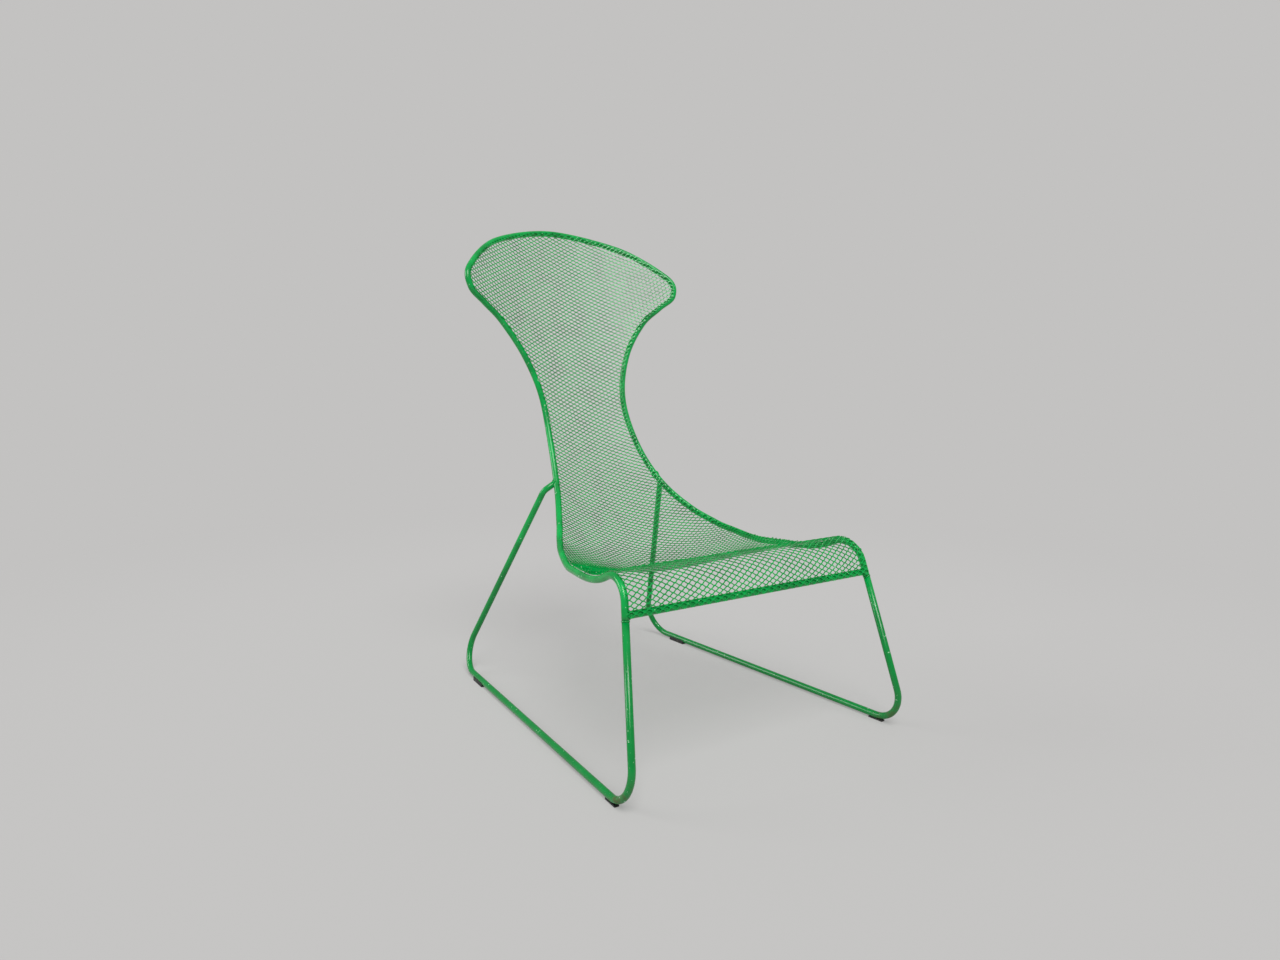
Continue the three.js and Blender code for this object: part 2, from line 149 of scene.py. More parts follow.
class ChairSizes(bpy.types.PropertyGroup):
    """Sizes of the chair's tube, welds and expanded metal."""

    tube_diameter: bpy.props.FloatProperty(
        name="Tube diameter",
        description="Outside diameter of the steel tube",
        default=12.7 * MM,
        unit="LENGTH",
    )
    weld_radius: bpy.props.FloatProperty(
        name="Weld bead",
        description="Radius of the fillet bead where tubes meet",
        default=1.9 * MM,
        unit="LENGTH",
    )
    ripple_pitch: bpy.props.FloatProperty(
        name="Weld ripple",
        description="Spacing of the ripples along a weld bead",
        default=2.1 * MM,
        unit="LENGTH",
    )
    diamond_length: bpy.props.FloatProperty(
        name="Diamond length",
        description="Pitch of the expanded metal across the chair",
        default=17.18 * MM,
        unit="LENGTH",
    )
    diamond_height: bpy.props.FloatProperty(
        name="Diamond height",
        description="Pitch of the expanded metal up the chair",
        default=8.95 * MM,
        unit="LENGTH",
    )
    opening_length: bpy.props.FloatProperty(
        name="Opening length",
        description="Length of one opening across the chair",
        default=12.4 * MM,
        unit="LENGTH",
    )
    opening_height: bpy.props.FloatProperty(
        name="Opening height",
        description="Height of one opening up the chair",
        default=6.5 * MM,
        unit="LENGTH",
    )
    opening_flat: bpy.props.FloatProperty(
        name="Opening flat",
        description="Length of the short flat at the top and foot of one opening",
        default=3.2 * MM,
        unit="LENGTH",
    )
    strand_thickness: bpy.props.FloatProperty(
        name="Strand thickness",
        description="Thickness of the painted strands",
        default=1.3 * MM,
        unit="LENGTH",
    )
    strand_lift: bpy.props.FloatProperty(
        name="Strand lift",
        description="Rise of each strand's lower edge over the sheet's middle",
        default=0.25 * MM,
        unit="LENGTH",
    )


class ChairColours(bpy.types.PropertyGroup):
    """Colours of the chair and its stage, as sRGB hex values."""

    enamel: bpy.props.StringProperty(
        name="Enamel",
        description="Main colour of the green enamel",
        default="#00AE4E",
    )
    # Darker enamel: the dark end of the random tone, and painted shade low on the legs
    enamel_dark_and_shade: bpy.props.StringProperty(
        name="Enamel, thick",
        description="Colour of the enamel where it has pooled",
        default="#007F35",
    )
    dirt: bpy.props.StringProperty(
        name="Dirt",
        description="Dried soil on the floor bends",
        default="#57522F",
    )
    # Painted glints: colour of the sparse pale spots on the enamel
    painted_glint: bpy.props.StringProperty(
        name="Worn spots",
        description="Pale primer that shows where the enamel has worn through",
        default="#A9D9B4",
    )
    rust: bpy.props.StringProperty(
        name="Rust",
        description="Rust spots on the bare steel",
        default="#4A4740",
    )
    steel: bpy.props.StringProperty(
        name="Steel",
        description="Bare steel of the sleeves inside the front joints",
        default="#9A9B99",
    )
    rubber: bpy.props.StringProperty(
        name="Rubber",
        description="Black rubber of the shoes",
        default="#1C1D1F",
    )
    rubber_dust: bpy.props.StringProperty(
        name="Rubber dust",
        description="Dust on the rubber",
        default="#4A4843",
    )
    floor: bpy.props.StringProperty(
        name="Floor",
        description="Pale studio floor and wall",
        default="#C3C2C1",
    )


class StageSettings(bpy.types.PropertyGroup):
    """Camera and light settings."""

    camera_place: bpy.props.FloatVectorProperty(
        name="Camera place",
        description="Where the camera stands",
        default=(-1045.6 * MM, -1501.6 * MM, 717.95 * MM),
        subtype="TRANSLATION",
        unit="LENGTH",
    )
    camera_yaw: bpy.props.FloatProperty(
        name="Camera yaw",
        description="Turn of the view to the right of straight ahead",
        default=math.radians(34.38),
        unit="ROTATION",
    )
    camera_pitch: bpy.props.FloatProperty(
        name="Camera pitch",
        description="Tilt of the view below level",
        default=math.radians(8.42),
        unit="ROTATION",
    )
    camera_roll: bpy.props.FloatProperty(
        name="Camera roll",
        description="Roll of the camera about its view",
        default=math.radians(0.7),
        unit="ROTATION",
    )
    lens: bpy.props.FloatProperty(
        name="Lens",
        description="Focal length in millimetres on a 36 mm wide sensor",
        default=25.96,
        unit="CAMERA",
    )
    floor_radius: bpy.props.FloatProperty(
        name="Floor radius",
        description="Radius of the floor disc",
        default=9.0,
        unit="LENGTH",
    )
    key_strength: bpy.props.FloatProperty(
        name="Key light",
        description="Strength of the soft light from above the camera",
        default=0.35,
    )
    side_strength: bpy.props.FloatProperty(
        name="Side light",
        description="Strength of the soft light from behind on the left",
        default=1.0,
    )
    overhead_strength: bpy.props.FloatProperty(
        name="Overhead light",
        description="Strength of the wide light overhead",
        default=2.0,
    )
    world_strength: bpy.props.FloatProperty(
        name="Ambient light",
        description="Strength of the light that comes from all round",
        default=0.3,
    )
    shadow_fill: bpy.props.FloatProperty(
        name="Shadow fill",
        description="How much of the floor's shadow the bright room fills in, from 0 to 1",
        default=0.5,
        min=0,
        max=1,
        subtype="FACTOR",
    )


class ChairSettings(bpy.types.PropertyGroup):
    """Everything that a user would change."""

    sizes: bpy.props.PointerProperty(
        type=ChairSizes, name="Sizes", description="Sizes of the chair"
    )
    colours: bpy.props.PointerProperty(
        type=ChairColours, name="Colours", description="Colours of the chair and its floor"
    )
    stage: bpy.props.PointerProperty(
        type=StageSettings, name="Stage", description="Camera, floor and lights"
    )


# Shape of the sheet and of the tubes' paths


def unit(vector):
    """The vector's direction."""
    return vector / np.linalg.norm(vector)


def mirrored(points, side):
    """Points on the sitter's left, for side 1, or the same on the right, for side -1."""
    return np.asarray(points) * (side, 1, 1)


def profile_at(t):
    """Depth, height and lean of the sheet's middle line, lengths t up from the front rail."""
    t = np.asarray(t, float)
    y = np.full_like(t, RAIL_Y)
    z = np.full_like(t, RAIL_Z)
    lean = np.full_like(t, APRON_LEAN)
    start = 0
    for index, (length, turn) in enumerate(PROFILE_RUNS):
        here = t - start
        if index > 0:
            here = np.maximum(here, 0)
        if index < len(PROFILE_RUNS) - 1:
            here = np.minimum(here, length)
        bend = turn * here / length
        if turn == 0:
            y = y + here * np.cos(lean)
            z = z + here * np.sin(lean)
        else:
            radius = length / turn
            y = y + radius * (np.sin(lean + bend) - np.sin(lean))
            z = z + radius * (np.cos(lean) - np.cos(lean + bend))
        lean = lean + bend
        start += length
    return y, z, lean


def dish_at(t):
    """Curvature of the dish across the sheet, lengths t up from the front rail."""
    share = (np.asarray(t) / SHEET_LENGTH - DISH_START_SHARE) / (DISH_FULL_SHARE - DISH_START_SHARE)
    share = np.clip(share, 0, 1)
    return share * share * (3 - 2 * share) / DISH_RADIUS


def centre_surface(x, t):
    """Points of the surface that holds the tubes' axes."""
    y, z, lean = profile_at(t)
    rise = dish_at(t) * np.square(x) / 2
    # Adding no rise gives x the shape of the others, where x or t is a single number
    return np.stack([x + 0 * rise, y - np.sin(lean) * rise, z + np.cos(lean) * rise], axis=-1)


def surface_normal(x, t):
    """Directions out of that surface on the sitter's side."""
    across = centre_surface(x + NORMAL_PROBE, t) - centre_surface(x - NORMAL_PROBE, t)
    along = centre_surface(x, t + NORMAL_PROBE) - centre_surface(x, t - NORMAL_PROBE)
    normal = np.cross(across, along)
    return normal / np.linalg.norm(normal, axis=-1, keepdims=True)


def outline_points():
    """Control points of the whole outline: width from the middle, and length up the sheet."""
    widths = np.array(OUTLINE_WIDTH_SHARES) * APRON_HALF_WIDTH
    lengths = np.array(OUTLINE_LENGTH_SHARES) * SHEET_LENGTH
    half = np.stack([widths, lengths], axis=-1)
    before = 2 * half[:1] - half[1:2]
    left = np.concatenate([before, half])
    right = left[:-1][::-1] * (-1, 1)
    return np.concatenate([left, right])


OUTLINE = outline_points()


def outline_at(station):
    """Places on the smooth outline, numbered from 0 at the left joint."""
    place = np.asarray(station, float) + 1
    index = np.clip(np.floor(place).astype(int), 1, len(OUTLINE) - 3)
    part = (place - index)[..., None]
    before, low, high, after = (OUTLINE[index + step] for step in (-1, 0, 1, 2))
    return (
        2 * low
        + (high - before) * part
        + (2 * before - 5 * low + 4 * high - after) * part**2
        + (3 * low - before - 3 * high + after) * part**3
    ) / 2


def shell_point(station):
    """Places on the shell tube's axis."""
    place = outline_at(station)
    return centre_surface(place[..., 0], place[..., 1])


def joint_up():
    """Direction of the left front leg where it runs straight on into the shell tube."""
    width, length = OUTLINE[2] - OUTLINE[1]
    return unit(np.array((width, math.cos(APRON_LEAN) * length, math.sin(APRON_LEAN) * length)))


RAIL_END = shell_point(0)
JOINT_UP = joint_up()


def along_joint(distance):
    """A place on the left front joint's axis, a distance above the butt joint."""
    return RAIL_END + JOINT_UP * (distance - JOINT_DROP)


def bend_points(before, corner, after, radius):
    """Points round the bend at one corner of a tube's path."""
    back = unit(before - corner)
    ahead = unit(after - corner)
    half_angle = math.acos(np.clip(back @ ahead, -1, 1)) / 2
    start = corner + back * radius / math.tan(half_angle)
    centre = corner + unit(back + ahead) * radius / math.sin(half_angle)
    inward = unit(centre - start)
    turn = math.pi - 2 * half_angle
    angles = np.linspace(0, turn, math.ceil(turn / BEND_STEP) + 1)[:, None]
    return start - back * radius * np.sin(angles) + inward * radius * (1 - np.cos(angles))


def leg_corners():
    """Corners of the left leg's path, from the front joint to the shell tube."""
    runner_height = SHOE_FLOOR + SHOE_GAP + bpy.context.scene.chair.sizes.tube_diameter / 2
    front = RAIL_END - JOINT_UP * (RAIL_END[2] - runner_height) / JOINT_UP[2]
    rear = front + np.array((-RUNNER_TAPER, RUNNER_LENGTH, 0))
    top_end = shell_point(REAR_JUNCTION)
    return front, rear, top_end + REAR_BEND_STEP, top_end


def leg_path():
    """Points of the left leg's axis."""
    front, rear, top, top_end = leg_corners()
    start = along_joint(0)
    stretches = [
        [start],
        bend_points(start, front, rear, FRONT_BEND_RADIUS),
        bend_points(front, rear, top, REAR_BEND_RADIUS),
        bend_points(rear, top, top_end, TOP_BEND_RADIUS),
        [top_end],
    ]
    return np.concatenate(stretches)


# Mesh helpers


def frames_along(points, closed):
    """Two directions square to a path at each of its points, turned as little as can be."""
    if closed:
        tangents = np.roll(points, -1, axis=0) - np.roll(points, 1, axis=0)
    else:
        steps = np.diff(points, axis=0)
        steps = steps / np.linalg.norm(steps, axis=1, keepdims=True)
        tangents = np.concatenate([steps[:1], steps[:-1] + steps[1:], steps[-1:]])
    tangents = tangents / np.linalg.norm(tangents, axis=1, keepdims=True)
    side = unit(np.cross(tangents[0], np.eye(3)[np.argmin(np.abs(tangents[0]))]))
    sides = []
    for tangent in tangents:
        side = unit(side - tangent * (side @ tangent))
        sides.append(side)
    sides = np.array(sides)
    ups = np.cross(tangents, sides)
    if closed:
        last = unit(sides[-1] - tangents[0] * (sides[-1] @ tangents[0]))
        twist = math.atan2(last @ ups[0], last @ sides[0])
        angles = -twist * np.arange(len(points))[:, None] / len(points)
        sides, ups = (
            np.cos(angles) * sides + np.sin(angles) * ups,
            np.cos(angles) * ups - np.sin(angles) * sides,
        )
    return sides, ups


def round_bar(points, radii, sides, closed=False):
    """Vertices and faces of a closed round skin along a path, with a radius for each point."""
    points = np.asarray(points)
    count = len(points)
    radii = np.broadcast_to(radii, count)[:, None, None]
    sideways, upward = frames_along(points, closed)
    angles = np.linspace(0, 2 * math.pi, sides, endpoint=False)[None, :, None]
    rings = sideways[:, None] * np.cos(angles) + upward[:, None] * np.sin(angles)
    vertices = (points[:, None] + rings * radii).reshape(-1, 3)
    faces = []
    for ring in range(count if closed else count - 1):
        low = ring * sides
        high = (ring + 1) % count * sides
        for i in range(sides):
            j = (i + 1) % sides
            faces.append((low + i, low + j, high + j, high + i))
    if not closed:
        faces.append(tuple(reversed(range(sides))))
        faces.append(tuple(range((count - 1) * sides, count * sides)))
    return vertices, faces


def add_piece(name, vertices, faces, material, replaced, smooth=True):
    """A new piece of the chair that stands for the named solids."""
    mesh = bpy.data.meshes.new(name)
    mesh.from_pydata([tuple(vertex) for vertex in vertices], [], faces)
    if mesh.validate():
        raise RuntimeError(f"{name} has faces that can't be drawn")
    # The many-sided ends of tubes and shoes stay flat
    for polygon in mesh.polygons:
        polygon.use_smooth = smooth and len(polygon.vertices) <= 4
    mesh.materials.append(material)
    piece = bpy.data.objects.new(name, mesh)
    bpy.context.scene.collection.objects.link(piece)
    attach(piece, ROOT_BODY)
    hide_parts(*replaced)


# Materials


def linear_from_hex(text):
    """Linear RGBA of an sRGB hex colour."""
    channels = [int(text[i : i + 2], 16) / 255 for i in (1, 3, 5)]
    linear = [c / 12.92 if c <= 0.04045 else ((c + 0.055) / 1.055) ** 2.4 for c in channels]
    return (*linear, 1)


def add_node(tree, kind, inputs=None, **settings):
    """Adds a node with its settings, and its inputs as values or as sockets to link."""
    node = tree.nodes.new(kind)
    for name, value in settings.items():
        setattr(node, name, value)
    for name, value in (inputs or {}).items():
        if isinstance(value, bpy.types.NodeSocket):
            tree.links.new(value, node.inputs[name])
        else:
            node.inputs[name].default_value = value
    return node


def empty_material(name):
    """A new material with an empty node tree."""
    material = bpy.data.materials.new(name)
    material.use_nodes = True
    material.node_tree.nodes.clear()
    return material


def gloss_enamel():
    """Gloss green enamel, dipped over steel: deep tone, painted shade low down, soft orange peel,
    painted glints.
    """
    found = bpy.data.materials.get("gloss_enamel")
    if found:
        return found
    colours = bpy.context.scene.chair.colours
    material = empty_material("gloss_enamel")
    tree = material.node_tree
    place = add_node(tree, "ShaderNodeTexCoord").outputs["Object"]

    # Slow change of colour over some 40 mm, where the enamel lies thicker or thinner
    tone_and_shade = add_node(
        tree, "ShaderNodeTexNoise", {"Vector": place, "Scale": 1 / (40 * MM), "Detail": 2.0}
    ).outputs["Fac"]
    tone_and_shade = add_node(
        tree, "ShaderNodeMapRange", {"Value": tone_and_shade, "From Min": 0.2, "From Max": 0.6}
    ).outputs["Result"]

    # Painted shade: the colour deepens towards the floor, from about 330 mm down to 200 mm on the
    # legs
    axes = add_node(tree, "ShaderNodeSeparateXYZ", {"Vector": place}).outputs
    shade_by_height = add_node(
        tree,
        "ShaderNodeMapRange",
        {"Value": axes["Z"], "From Min": 200 * MM, "From Max": 330 * MM, "To Min": 0.2},
        interpolation_type="SMOOTHSTEP",
    ).outputs["Result"]
    # The random tone and the painted shade low down meet here
    tone_and_shade = add_node(
        tree, "ShaderNodeMath", {0: tone_and_shade, 1: shade_by_height}, operation="MULTIPLY"
    ).outputs["Value"]
    paint = add_node(
        tree,
        "ShaderNodeMix",
        {
            "Factor": tone_and_shade,
            "A": linear_from_hex(colours.enamel_dark_and_shade),
            "B": linear_from_hex(colours.enamel),
        },
        data_type="RGBA",
    ).outputs["Result"]

    # Dried soil low on the front floor bends, broken up by grain of about 11 mm
    ends = []
    for axis, full, clean in (("Z", 15 * MM, 80 * MM), ("Y", -365 * MM, -335 * MM)):
        end = add_node(
            tree,
            "ShaderNodeMapRange",
            {"Value": axes[axis], "From Min": full, "From Max": clean, "To Min": 1, "To Max": 0},
            interpolation_type="SMOOTHSTEP",
        )
        ends.append(end.outputs["Result"])
    low = add_node(
        tree, "ShaderNodeMath", {0: ends[0], 1: ends[1]}, operation="MULTIPLY"
    ).outputs["Value"]
    grain = add_node(
        tree, "ShaderNodeTexNoise", {"Vector": place, "Scale": 1 / (11 * MM), "Detail": 5.0}
    ).outputs["Fac"]
    grain = add_node(
        tree, "ShaderNodeMapRange", {"Value": grain, "From Min": 0.44, "From Max": 0.78}
    ).outputs["Result"]
    soil = add_node(
        tree, "ShaderNodeMath", {0: low, 1: grain}, operation="MULTIPLY"
    ).outputs["Value"]
    soiled = add_node(
        tree,
        "ShaderNodeMix",
        {"Factor": soil, "A": paint, "B": linear_from_hex(colours.dirt)},
        data_type="RGBA",
    ).outputs["Result"]

    # Painted glints: sparse pale spots of 1 to 2 mm
    speck = add_node(
        tree, "ShaderNodeTexNoise", {"Vector": place, "Scale": 1 / (5 * MM), "Detail": 3.0}
    ).outputs["Fac"]
    glint_spot = add_node(
        tree, "ShaderNodeMapRange", {"Value": speck, "From Min": 0.69, "From Max": 0.71}
    ).outputs["Result"]
    glinted = add_node(
        tree,
        "ShaderNodeMix",
        {"Factor": glint_spot, "A": soiled, "B": linear_from_hex(colours.painted_glint)},
        data_type="RGBA",
    ).outputs["Result"]

    # Orange peel, really 1 to 2 mm and drawn at 3 mm so that it shows
    peel = add_node(
        tree, "ShaderNodeTexNoise", {"Vector": place, "Scale": 1 / (3 * MM), "Detail": 1.0}
    ).outputs["Fac"]
    bump = add_node(
        tree, "ShaderNodeBump", {"Height": peel, "Strength": 0.12, "Distance": 0.2 * MM}
    ).outputs["Normal"]

    # Slightly uneven gloss, and none where there is soil
    gloss = add_node(
        tree, "ShaderNodeMapRange", {"Value": grain, "To Min": 0.2, "To Max": 0.32}
    ).outputs["Result"]
    rough = add_node(
        tree, "ShaderNodeMix", {"Factor": soil, "A": gloss, "B": 0.85}, data_type="FLOAT"
    ).outputs["Result"]
    shader = add_node(
        tree,
        "ShaderNodeBsdfPrincipled",
        {
            "Base Color": glinted,
            "Roughness": rough,
            "Normal": bump,
            "IOR": 1.5,
            "Specular IOR Level": 0.35,
            "Coat Weight": 0.15,
            "Coat Roughness": 0.08,
        },
    ).outputs["BSDF"]
    add_node(tree, "ShaderNodeOutputMaterial", {"Surface": shader})
    return material


def moulded_rubber():
    """Black moulded rubber: matt, a little grey with dust, with a fine pebbled skin."""
    found = bpy.data.materials.get("moulded_rubber")
    if found:
        return found
    colours = bpy.context.scene.chair.colours
    material = empty_material("moulded_rubber")
    tree = material.node_tree
    place = add_node(tree, "ShaderNodeTexCoord").outputs["Object"]
    dust = add_node(
        tree, "ShaderNodeTexNoise", {"Vector": place, "Scale": 1 / (8 * MM), "Detail": 4.0}
    ).outputs["Fac"]
    dust = add_node(
        tree, "ShaderNodeMapRange", {"Value": dust, "From Min": 0.45, "From Max": 0.8}
    ).outputs["Result"]
    colour = add_node(
        tree,
        "ShaderNodeMix",
        {
            "Factor": dust,
            "A": linear_from_hex(colours.rubber),
            "B": linear_from_hex(colours.rubber_dust),
        },
        data_type="RGBA",
    ).outputs["Result"]
    rough = add_node(
        tree, "ShaderNodeMapRange", {"Value": dust, "To Min": 0.6, "To Max": 0.85}
    ).outputs["Result"]

    # Pebbled skin, really some 0.5 mm and drawn at 1.2 mm so that it shows
    pebble = add_node(
        tree, "ShaderNodeTexNoise", {"Vector": place, "Scale": 1 / (1.2 * MM), "Detail": 1.0}
    ).outputs["Fac"]
    bump = add_node(
        tree, "ShaderNodeBump", {"Height": pebble, "Strength": 0.3, "Distance": 0.15 * MM}
    ).outputs["Normal"]
    shader = add_node(
        tree,
        "ShaderNodeBsdfPrincipled",
        {"Base Color": colour, "Roughness": rough, "Normal": bump, "IOR": 1.52},
    ).outputs["BSDF"]
    add_node(tree, "ShaderNodeOutputMaterial", {"Surface": shader})
    return material


def drawn_steel():
    """Bare drawn steel of the inner sleeves: grey metal of uneven gloss with a few rust spots."""
    found = bpy.data.materials.get("drawn_steel")
    if found:
        return found
    colours = bpy.context.scene.chair.colours
    material = empty_material("drawn_steel")
    tree = material.node_tree
    place = add_node(tree, "ShaderNodeTexCoord").outputs["Object"]
    grain = add_node(
        tree, "ShaderNodeTexNoise", {"Vector": place, "Scale": 1 / (0.8 * MM), "Detail": 2.0}
    ).outputs["Fac"]
    spots = add_node(
        tree, "ShaderNodeMapRange", {"Value": grain, "From Min": 0.62, "From Max": 0.7}
    ).outputs["Result"]
    colour = add_node(
        tree,
        "ShaderNodeMix",
        {
            "Factor": spots,
            "A": linear_from_hex(colours.steel),
            "B": linear_from_hex(colours.rust),
        },
        data_type="RGBA",
    ).outputs["Result"]
    rough = add_node(
        tree, "ShaderNodeMapRange", {"Value": grain, "To Min": 0.3, "To Max": 0.55}
    ).outputs["Result"]
    shader = add_node(
        tree,
        "ShaderNodeBsdfPrincipled",
        {"Base Color": colour, "Roughness": rough, "Metallic": 1.0},
    ).outputs["BSDF"]
    add_node(tree, "ShaderNodeOutputMaterial", {"Surface": shader})
    return material


# Pieces


class CHAIR_OT_shell_tube(bpy.types.Operator):
    """Bend the tube that outlines the apron, seat, waist and fan back, and the front rail"""

    bl_idname = "chair.shell_tube"
    bl_label = "Shell Tube and Front Rail"

    def execute(self, context):
        radius = context.scene.chair.sizes.tube_diameter / 2
        count = 2 * CROWN_STATION * STATION_STEPS + 1
        stations = np.linspace(0, 2 * CROWN_STATION, count)
        ends = [along_joint(0)[None], shell_point(stations), mirrored(along_joint(0), -1)[None]]
        vertices, faces = round_bar(np.concatenate(ends), radius, TUBE_SIDES)
        add_piece(
            "shell_tube_skin", vertices, faces, gloss_enamel(), ["shell_tube"]
        )
        inset = np.array((radius / 2, 0, 0))
        rail = np.linspace(mirrored(RAIL_END - inset, -1), RAIL_END - inset, RAIL_STEPS)
        vertices, faces = round_bar(rail, radius, TUBE_SIDES)
        add_piece(
            "front_rail_skin", vertices, faces, gloss_enamel(), ["front_rail"]
        )
        return {"FINISHED"}


class CHAIR_OT_legs(bpy.types.Operator):
    """Bend the two sled legs"""

    bl_idname = "chair.legs"
    bl_label = "Sled Legs"

    def execute(self, context):
        radius = context.scene.chair.sizes.tube_diameter / 2
        for name, side in SIDES.items():
            vertices, faces = round_bar(mirrored(leg_path(), side), radius, TUBE_SIDES)
            node = f"{name}_leg"
            add_piece(f"{node}_skin", vertices, faces, gloss_enamel(), [node])
        return {"FINISHED"}


def distance_to_path(points, path):
    """Distance from each point to the nearest place on a path."""
    steps = path[1:] - path[:-1]
    away = points[:, None] - path[:-1]
    share = np.clip((away * steps).sum(-1) / (steps * steps).sum(-1), 0, 1)
    return np.linalg.norm(away - share[..., None] * steps, axis=-1).min(axis=1)


# How finely a weld's line is found, and how far back along the branch tube, in tube radii
WELD_STEPS = 120
WELD_REACH_SHARE = 2.2
WELD_SEARCH_STEPS = 300
WELD_SMOOTHING = 4
NEAR_RAIL_STEPS = 12
NEAR_LEG_STEPS = 40


def weld_loop(branch_end, direction, shell_path, radius):
    """The closed line where a branch tube of that radius meets the shell tube."""
    sideways, upward = frames_along(np.array([branch_end - direction, branch_end]), closed=False)
    reach = WELD_REACH_SHARE * radius
    travel = np.linspace(-reach, 0, WELD_SEARCH_STEPS)[:, None]
    loop = []
    for angle in np.linspace(0, 2 * math.pi, WELD_STEPS, endpoint=False):
        offset = (sideways[0] * math.cos(angle) + upward[0] * math.sin(angle)) * radius
        line = branch_end + offset + direction * travel
        gap = distance_to_path(line, shell_path) - radius
        touching = np.nonzero(gap <= 0)[0]
        loop.append(line[touching[0] if len(touching) else int(np.argmin(gap))])
    loop = np.array(loop)
    for _ in range(WELD_SMOOTHING):
        loop = (np.roll(loop, 1, axis=0) + 2 * loop + np.roll(loop, -1, axis=0)) / 4
    return loop


def rippled(loop, radius, pitch, depth_share):
    """Radius at each point of a closed bead, with one low ripple each pitch."""
    steps = np.linalg.norm(np.roll(loop, -1, axis=0) - loop, axis=1)
    ripples = max(1, round(steps.sum() / pitch))
    phase = np.concatenate([[0], np.cumsum(steps)[:-1]]) / steps.sum()
    return radius * (1 + depth_share * np.abs(np.sin(math.pi * ripples * phase)))


RIPPLE_DEPTH_SHARE = 0.14
JOINT_BEAD_RADIUS = 1.25 * MM
JOINT_BEAD_SINK = 0.45 * MM


class CHAIR_OT_welds(bpy.types.Operator):
    """Lay the weld beads at the front rail, the rear legs and the butt joints"""

    bl_idname = "chair.welds"
    bl_label = "Weld Beads"

    def execute(self, context):
        sizes = context.scene.chair.sizes
        radius = sizes.tube_diameter / 2
        near_rail = shell_point(np.linspace(0, 1, NEAR_RAIL_STEPS))
        near_rail = np.concatenate([along_joint(0)[None], near_rail])
        stations = np.linspace(REAR_JUNCTION - 1, REAR_JUNCTION + 1, NEAR_LEG_STEPS)
        near_leg = shell_point(stations)
        leg_end = leg_path()[-2:]
        crossings = {
            "rail": (RAIL_END, np.array((1.0, 0, 0)), near_rail, 0),
            "rear": (leg_end[1], unit(leg_end[1] - leg_end[0]), near_leg, REAR_JUNCTION),
        }
        for name, side in SIDES.items():
            for kind, (end, direction, path, station) in crossings.items():
                loop = weld_loop(end, direction, path, radius)
                radii = rippled(loop, sizes.weld_radius, sizes.ripple_pitch, RIPPLE_DEPTH_SHARE)
                vertices, faces = round_bar(loop, radii, BEAD_SIDES, closed=True)
                vertices = below_sheet(vertices, station, radius)
                self.add_bead(f"{name}_{kind}_weld", vertices, faces, side)
            angles = np.linspace(0, 2 * math.pi, WELD_STEPS, endpoint=False)[:, None]
            sideways, upward = frames_along(np.array([along_joint(0), RAIL_END]), closed=False)
            ring = sideways[0] * np.cos(angles) + upward[0] * np.sin(angles)
            ring = along_joint(0) + ring * (radius - JOINT_BEAD_SINK)
            radii = rippled(ring, JOINT_BEAD_RADIUS, sizes.ripple_pitch, RIPPLE_DEPTH_SHARE)
            vertices, faces = round_bar(ring, radii, BEAD_SIDES, closed=True)
            self.add_bead(f"{name}_joint_weld", vertices, faces, side)
        return {"FINISHED"}

    def add_bead(self, node, vertices, faces, side):
        """One bead, which stands for the solid of that name."""
        vertices = mirrored(vertices, side)
        if side < 0:
            faces = [tuple(reversed(face)) for face in faces]
        add_piece(f"{node}_bead", vertices, faces, gloss_enamel(), [node])


def below_sheet(vertices, station, radius):
    """The vertices with those that reach above the tubes' tops set down to where the sheet lies."""
    x, t = outline_at(station)
    normal = surface_normal(x, t)
    rise = (vertices - shell_point(station)) @ normal - radius
    return vertices - np.maximum(rise, 0)[:, None] * normal


# How the sheet lies: its middle's height over the tubes' tops, and its cover of the rail
SHEET_REST = 1.45 * MM
RAIL_COVER_SHARE = 0.9

# How the sheet is cut: a search along each cut strand, and the least share that is left of one
CUT_SEARCH_STEPS = 24
SHORTEST_STUB_SHARE = 0.12
OUTLINE_STEPS = 4000
SHEET_REACH_SHARE = 1.3
SPREAD_ROUNDS = 6
FLATTEST_CURVE = 1e-6


